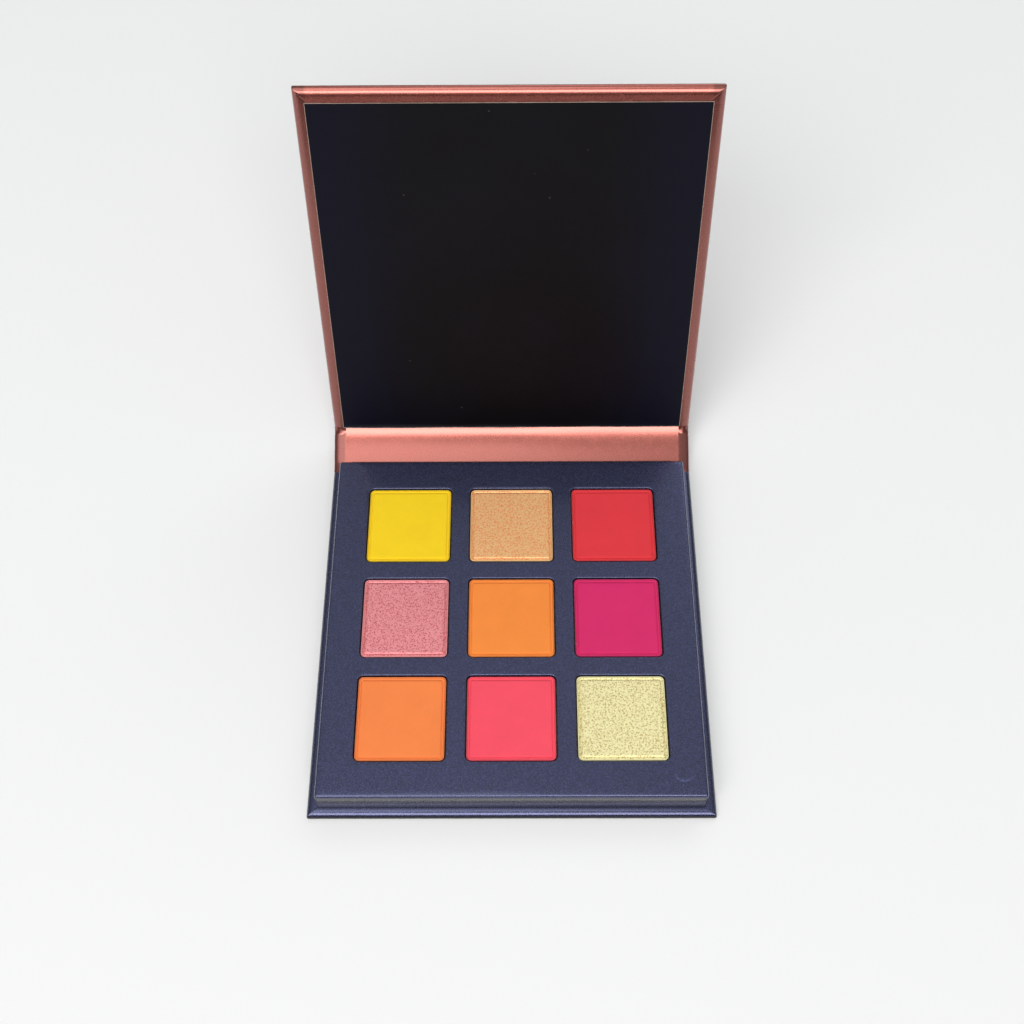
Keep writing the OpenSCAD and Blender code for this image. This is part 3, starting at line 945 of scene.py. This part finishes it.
# The lining over the lower crease, with a tab that runs in under the tray.
def makeLowerLining():
    x = liningAcross()
    flat = float(creaseEnd(innerN))
    top = innerN + spine["liningLift"]
    tab = lowerCrease["place"](x, np.linspace(-flat - spine["tab"], -flat, 5)[:-1, None] + 0 * x, top)
    bend = creasePoints(lowerCrease, x, top + 0 * x, flat + 0 * x, 17)
    piece = gridMesh("lowerCreaseLining", [(np.concatenate([tab, bend]), {})])
    faceOutwards(piece, lowerCrease["place"](0.0, 0.0, outerN))
    thicken(piece, spine["liningThick"])
    finishPiece(piece, "coral_paper", "coral_paper", None, "lower_crease_liner")
    blendOver(piece, lowerCrease)


print("spine")
makeSpineWrap()
makeSpineBoard()
makeCreaseWrap("lowerCreaseWrap", "lower_crease_wrap", lowerCrease, 0.3 * spine["pleat"])
makeCreaseWrap("upperCreaseWrap", "upper_crease_wrap", upperCrease, spine["pleat"])
makeSpineLining()
makeLowerLining()


lid = {
    "start": 2.5 * mm, "top": 4.0 * mm, "thick": 0.28 * mm, "rim": 0.13 * mm, "worn": 0.32 * mm,
    "curl": 0.42 * mm, "curlAlong": 0.8 * mm, "magnetRadius": 3.0 * mm, "magnetDepth": 1.5 * mm,
}

print("lid")
lidWrap = wrappedPanel("lidWrap", onLid)
thicken(lidWrap, panel["skin"])
finishPiece(lidWrap, "coral_turned", "coral_paper", "lid", "lid_wrap")

lidBoard = panelBoard("lidBoard", onLid)
magnetAlong = lowerAxis[1] - magnetPlace[1]
cutPockets(lidBoard, onLid, [(side * magnetPlace[0], magnetAlong) for side in (-1, 1)],
           lid["magnetRadius"], innerN - paper - lid["magnetDepth"], innerN)
finishPiece(lidBoard, "board", "board", "lid", "lid_board")


# The dark lining card. Its lower edge has lifted: the height falls away from it by a bell curve.
# The border's outermost faces show the pale core of the card.
def makeLidLiner():
    half, rim, start = linerHalf, lid["rim"], lid["start"]
    far = panelDepth - lid["top"]
    x = np.concatenate([[-half], np.linspace(-half + rim, half - rim, 81), [half]])
    along = start + lid["worn"] + np.linspace(0, 1, 15)[1:] ** 1.5 * 4 * lid["curlAlong"]
    rest = np.linspace(along[-1], far - rim, 20)[1:]
    s = np.concatenate([[start, start + lid["worn"]], along, rest, [far]])
    uneven = 0.72 - 0.28 * np.sin(x / half * 0.5 * np.pi) + 0.12 * np.cos(x / (6 * mm))
    n = innerN + lid["thick"] + lid["curl"] * np.exp(-((s[:, None] - start) / lid["curlAlong"]) ** 2) * uneven
    grid = onLid(np.broadcast_to(x, n.shape), np.broadcast_to(s[:, None], n.shape), n)
    piece = gridMesh("lidLiner", [(grid, {})])
    pale = np.zeros((len(s) - 1, len(x) - 1), int)
    pale[-1], pale[:, 0], pale[:, -1] = 1, 1, 1
    # The first row, along the lifted edge, takes the pale paint that is partly worn core and partly painted
    # highlight.
    pale[0] = 2
    piece.data.polygons.foreach_set("material_index", pale.ravel())
    faceOutwards(piece, onLid(0.0, panelDepth / 2, outerN))
    finishPiece(piece, "dark_card", "dark_card", "lid", "lid_liner")
    piece.data.materials.append(paints["cut_edge"])
    piece.data.materials.append(paints["worn_edge"])
    thicken(piece, lid["thick"] - spine["liningLift"], rim=1)


makeLidLiner()


print("inner pieces")
kept = {
    "board": ["pan_bed_lower", "pan_bed_upper"],
    "adhesive": ["tray_adhesive", "lid_adhesive", "pan_glue"],
    "magnet": ["tray_magnet_left", "tray_magnet_right", "lid_magnet_left", "lid_magnet_right"],
}
for paint, names in kept.items():
    for name in names:
        slots = frame["nodes"][name].material_slots
        for slot in slots:
            slot.material = paints[paint]


stage = {"size": 6.0, "colour": (0.885, 0.887, 0.885), "roughness": 0.6}


def makeFloor():
    mesh = bpy.data.meshes.new("floor")
    half = stage["size"] / 2
    corners = [(-half, -half, 0), (half, -half, 0), (half, half, 0), (-half, half, 0)]
    mesh.from_pydata(corners, [], [(0, 1, 2, 3)])
    floor = bpy.data.objects.new("floor", mesh)
    bpy.context.scene.collection.objects.link(floor)
    p = Paint("floorPaint", Roughness=stage["roughness"], Specular_IOR_Level=0.3)
    tone = p.noise(0.5, 2.0, 0.5)
    colour = p.mix(tone, shade(stage["colour"], 0.98), stage["colour"])
    mesh.materials.append(p.feed(Base_Color=colour))


# Each light: where it hangs, what it looks at, how wide and deep it is, its glow and its colour.
lights = {
    "frontBox": {"at": (-0.40, -1.78, 1.86), "size": (3.2, 1.15), "glow": 4.5, "colour": (1, 0.985, 0.965)},
    "leftCeiling": {"at": (-0.74, -0.42, 3.0), "size": (1.5, 2.50), "glow": 1.5, "colour": (1, 1, 1)},
    "backLight": {"at": (0.90, 2.30, 2.1), "size": (2.6, 1.40), "glow": 1.1, "colour": (0.96, 0.98, 1)},
}


def makeLight(name, light):
    data = bpy.data.lights.new(name, "AREA")
    data.shape = "RECTANGLE"
    data.size, data.size_y = light["size"]
    data.energy = light["glow"] * math.pi * light["size"][0] * light["size"][1]
    data.color = light["colour"]
    lamp = bpy.data.objects.new(name, data)
    lamp.location = light["at"]
    look = -Vector(light["at"])
    lamp.rotation_euler = look.to_track_quat("-Z", "Y").to_euler()
    bpy.context.scene.collection.objects.link(lamp)


room = {"low": 0.16, "high": 0.50, "colour": (0.95, 0.98, 1.0)}
# A dark card before the case that only the glossy papers see: it stands in for the shade of the room in
# front, as a dark reflection. It reaches from one (y, z) to another.
cards = {
    "farCard": {"from": (-0.50, 0.0), "to": (-0.50, 0.24), "half": 0.6, "grey": 0.05},
}


def makeCard(name, card):
    mesh = bpy.data.meshes.new(name)
    (y1, z1), (y2, z2), x = card["from"], card["to"], card["half"]
    mesh.from_pydata([(-x, y1, z1), (x, y1, z1), (x, y2, z2), (-x, y2, z2)], [], [(0, 1, 2, 3)])
    sheet = bpy.data.objects.new(name, mesh)
    bpy.context.scene.collection.objects.link(sheet)
    sheet.visible_camera = False
    sheet.visible_shadow = False
    sheet.visible_diffuse = False
    grey = card["grey"]
    mesh.materials.append(Paint(name + "Paint", Roughness=0.9).feed(Base_Color=(grey, grey, grey, 1)))


# The room is dim near the horizon and brighter overhead, by the height of the direction.
def makeWorld():
    world = bpy.data.worlds.new("world")
    world.use_nodes = True
    tree = world.node_tree
    place = tree.nodes.new("ShaderNodeTexCoord")
    split = tree.nodes.new("ShaderNodeSeparateXYZ")
    rise = tree.nodes.new("ShaderNodeMapRange")
    rise.inputs["From Min"].default_value = 0.35
    rise.inputs["From Max"].default_value = 0.75
    rise.inputs["To Min"].default_value = room["low"]
    rise.inputs["To Max"].default_value = room["high"]
    background = tree.nodes["Background"]
    background.inputs["Color"].default_value = (*room["colour"], 1)
    tree.links.new(place.outputs["Generated"], split.inputs[0])
    tree.links.new(split.outputs["Z"], rise.inputs["Value"])
    tree.links.new(rise.outputs[0], background.inputs["Strength"])
    bpy.context.scene.world = world


camera = {
    "at": (2.245 * mm, -166.907 * mm, 356.493 * mm), "pitch": 60.492, "yaw": -0.598, "roll": -0.696,
    "focal": 1273 / 1024, "centre": 533 / 1024 - 0.5, "sensor": 36,
}


# The view is set by its pitch below the horizon, its yaw to the right and its roll.
def makeCamera():
    data = bpy.data.cameras.new("camera")
    data.sensor_width = camera["sensor"]
    data.lens = camera["focal"] * camera["sensor"]
    data.shift_y = camera["centre"]
    data.clip_start, data.clip_end = 0.01, 20
    pitch, yaw, roll = (math.radians(camera[k]) for k in ("pitch", "yaw", "roll"))
    forward = Vector((math.sin(yaw) * math.cos(pitch), math.cos(yaw) * math.cos(pitch), -math.sin(pitch)))
    right = Vector((math.cos(yaw), -math.sin(yaw), 0))
    up = right.cross(forward)
    turnedRight = right * math.cos(roll) + up * math.sin(roll)
    turnedUp = up * math.cos(roll) - right * math.sin(roll)
    view = bpy.data.objects.new("camera", data)
    view.matrix_world = Matrix.Translation(camera["at"]) @ Matrix(
        (turnedRight, turnedUp, -forward)).transposed().to_4x4()
    bpy.context.scene.collection.objects.link(view)
    bpy.context.scene.camera = view


print("stage")
makeFloor()
for name, card in cards.items():
    makeCard(name, card)
for name, light in lights.items():
    makeLight(name, light)
makeWorld()
makeCamera()
bpy.context.scene.view_settings.view_transform = "Standard"
